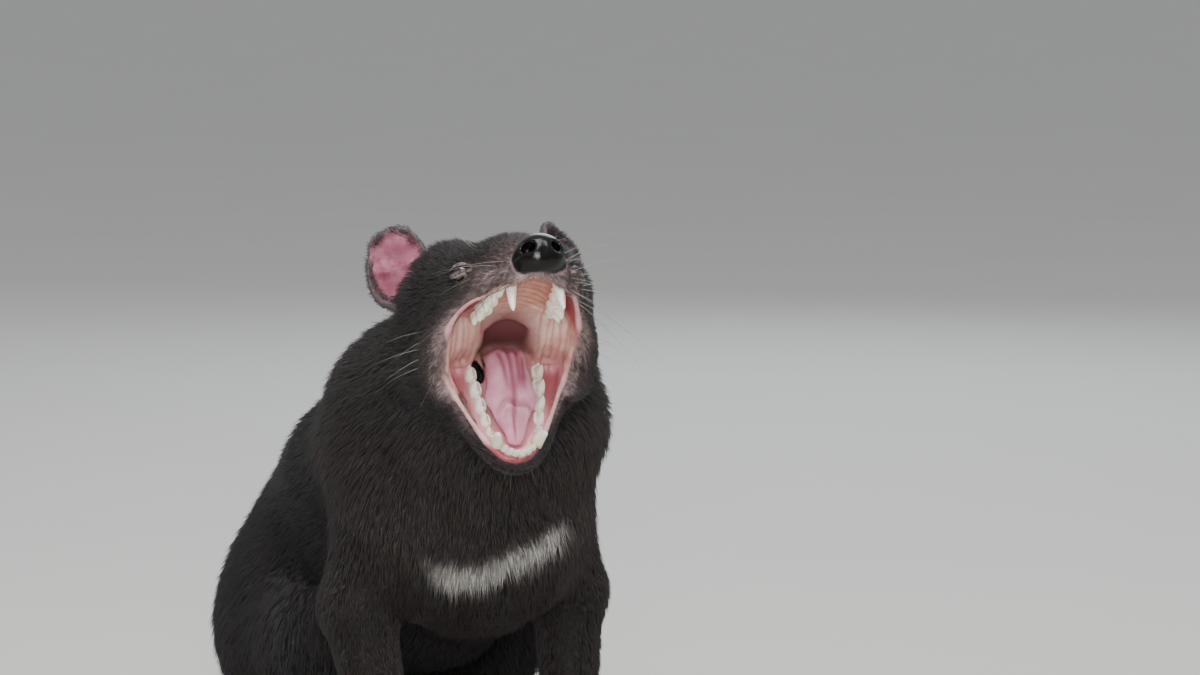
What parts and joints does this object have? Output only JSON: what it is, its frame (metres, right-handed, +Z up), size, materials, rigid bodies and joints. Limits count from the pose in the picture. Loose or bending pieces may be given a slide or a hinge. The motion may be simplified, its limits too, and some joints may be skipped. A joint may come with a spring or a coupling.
{
  "type": "tasmanian devil",
  "caption": "Life-size Tasmanian devil sitting on its haunches, snout raised and mouth wide open in a yawn, tail laid on the floor.",
  "frame": {"origin": "on the floor under the middle of the whole body with its tail", "axes": "+Z up, the animal faces -Y, its right side is -X"},
  "size_m": [0.2204, 0.6084, 0.3624],
  "materials": {
    "fur": "soft black coat with a bluish sheen",
    "face": "short-haired greyish pink-brown skin",
    "nose": "moist and pebbled",
    "ear": "bare pink inside, thin",
    "mouth": "wet",
    "eye": "glossy dark brown"
  },
  "bodies": {
    "root": {"head": "face", "lower_jaw": "face", "nose": "nose", "tongue": "mouth", "ear_right": "ear", "ear_left": "ear", "eye_right": "eye", "eye_left": "eye", "neck": "fur", "torso": "fur", "foreleg_right": "fur", "foreleg_left": "fur", "forefoot_right": "fur", "forefoot_left": "fur", "hindleg_right": "fur", "hindleg_left": "fur", "hindfoot_right": "fur", "hindfoot_left": "fur", "tail": "fur"}
  },
  "joints": []
}
